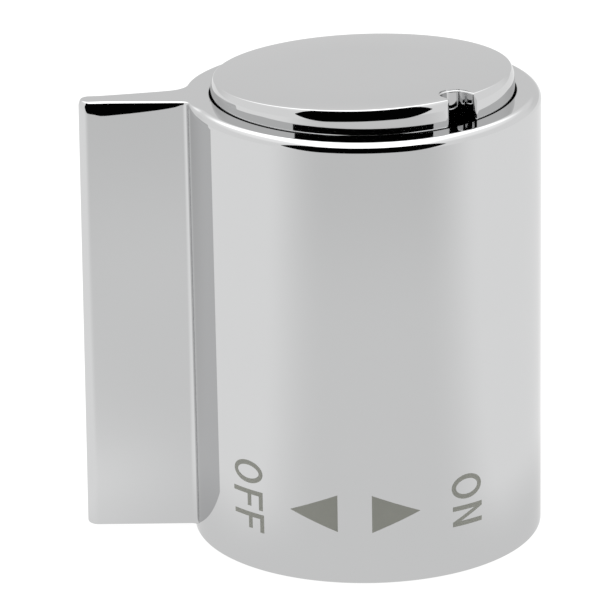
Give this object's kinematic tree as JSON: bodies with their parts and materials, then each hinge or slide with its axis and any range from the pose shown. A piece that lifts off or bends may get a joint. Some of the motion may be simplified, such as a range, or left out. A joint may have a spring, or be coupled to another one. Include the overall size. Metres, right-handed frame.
{
  "type": "tap handle",
  "caption": "Chrome-plated lever handle for a tap or shower valve: a hollow drum with a flat blade lever, a plug-in cover cap with a pry notch and a serrated spindle socket.",
  "frame": {"origin": "on the turning axis, at the level of the skirt's rim that sits over the valve", "axes": "+Z along the turning axis from the valve towards the cover cap, -X along the lever from the drum to its tip"},
  "size_m": [0.0603, 0.046, 0.0625],
  "materials": {
    "body_chrome": "polished zinc die casting, bright chrome plated",
    "cap_chrome": "moulded plastic, bright chrome plated",
    "insert_plastic": "plain moulded, off-white",
    "screw_steel": "plain stainless steel",
    "mark_etch": "matt grey etched lettering and arrows on the drum"
  },
  "bodies": {
    "root": {"handle_body": "body_chrome", "cover_cap": "cap_chrome", "spline_insert": "insert_plastic", "fixing_screw": "screw_steel"}
  },
  "joints": []
}
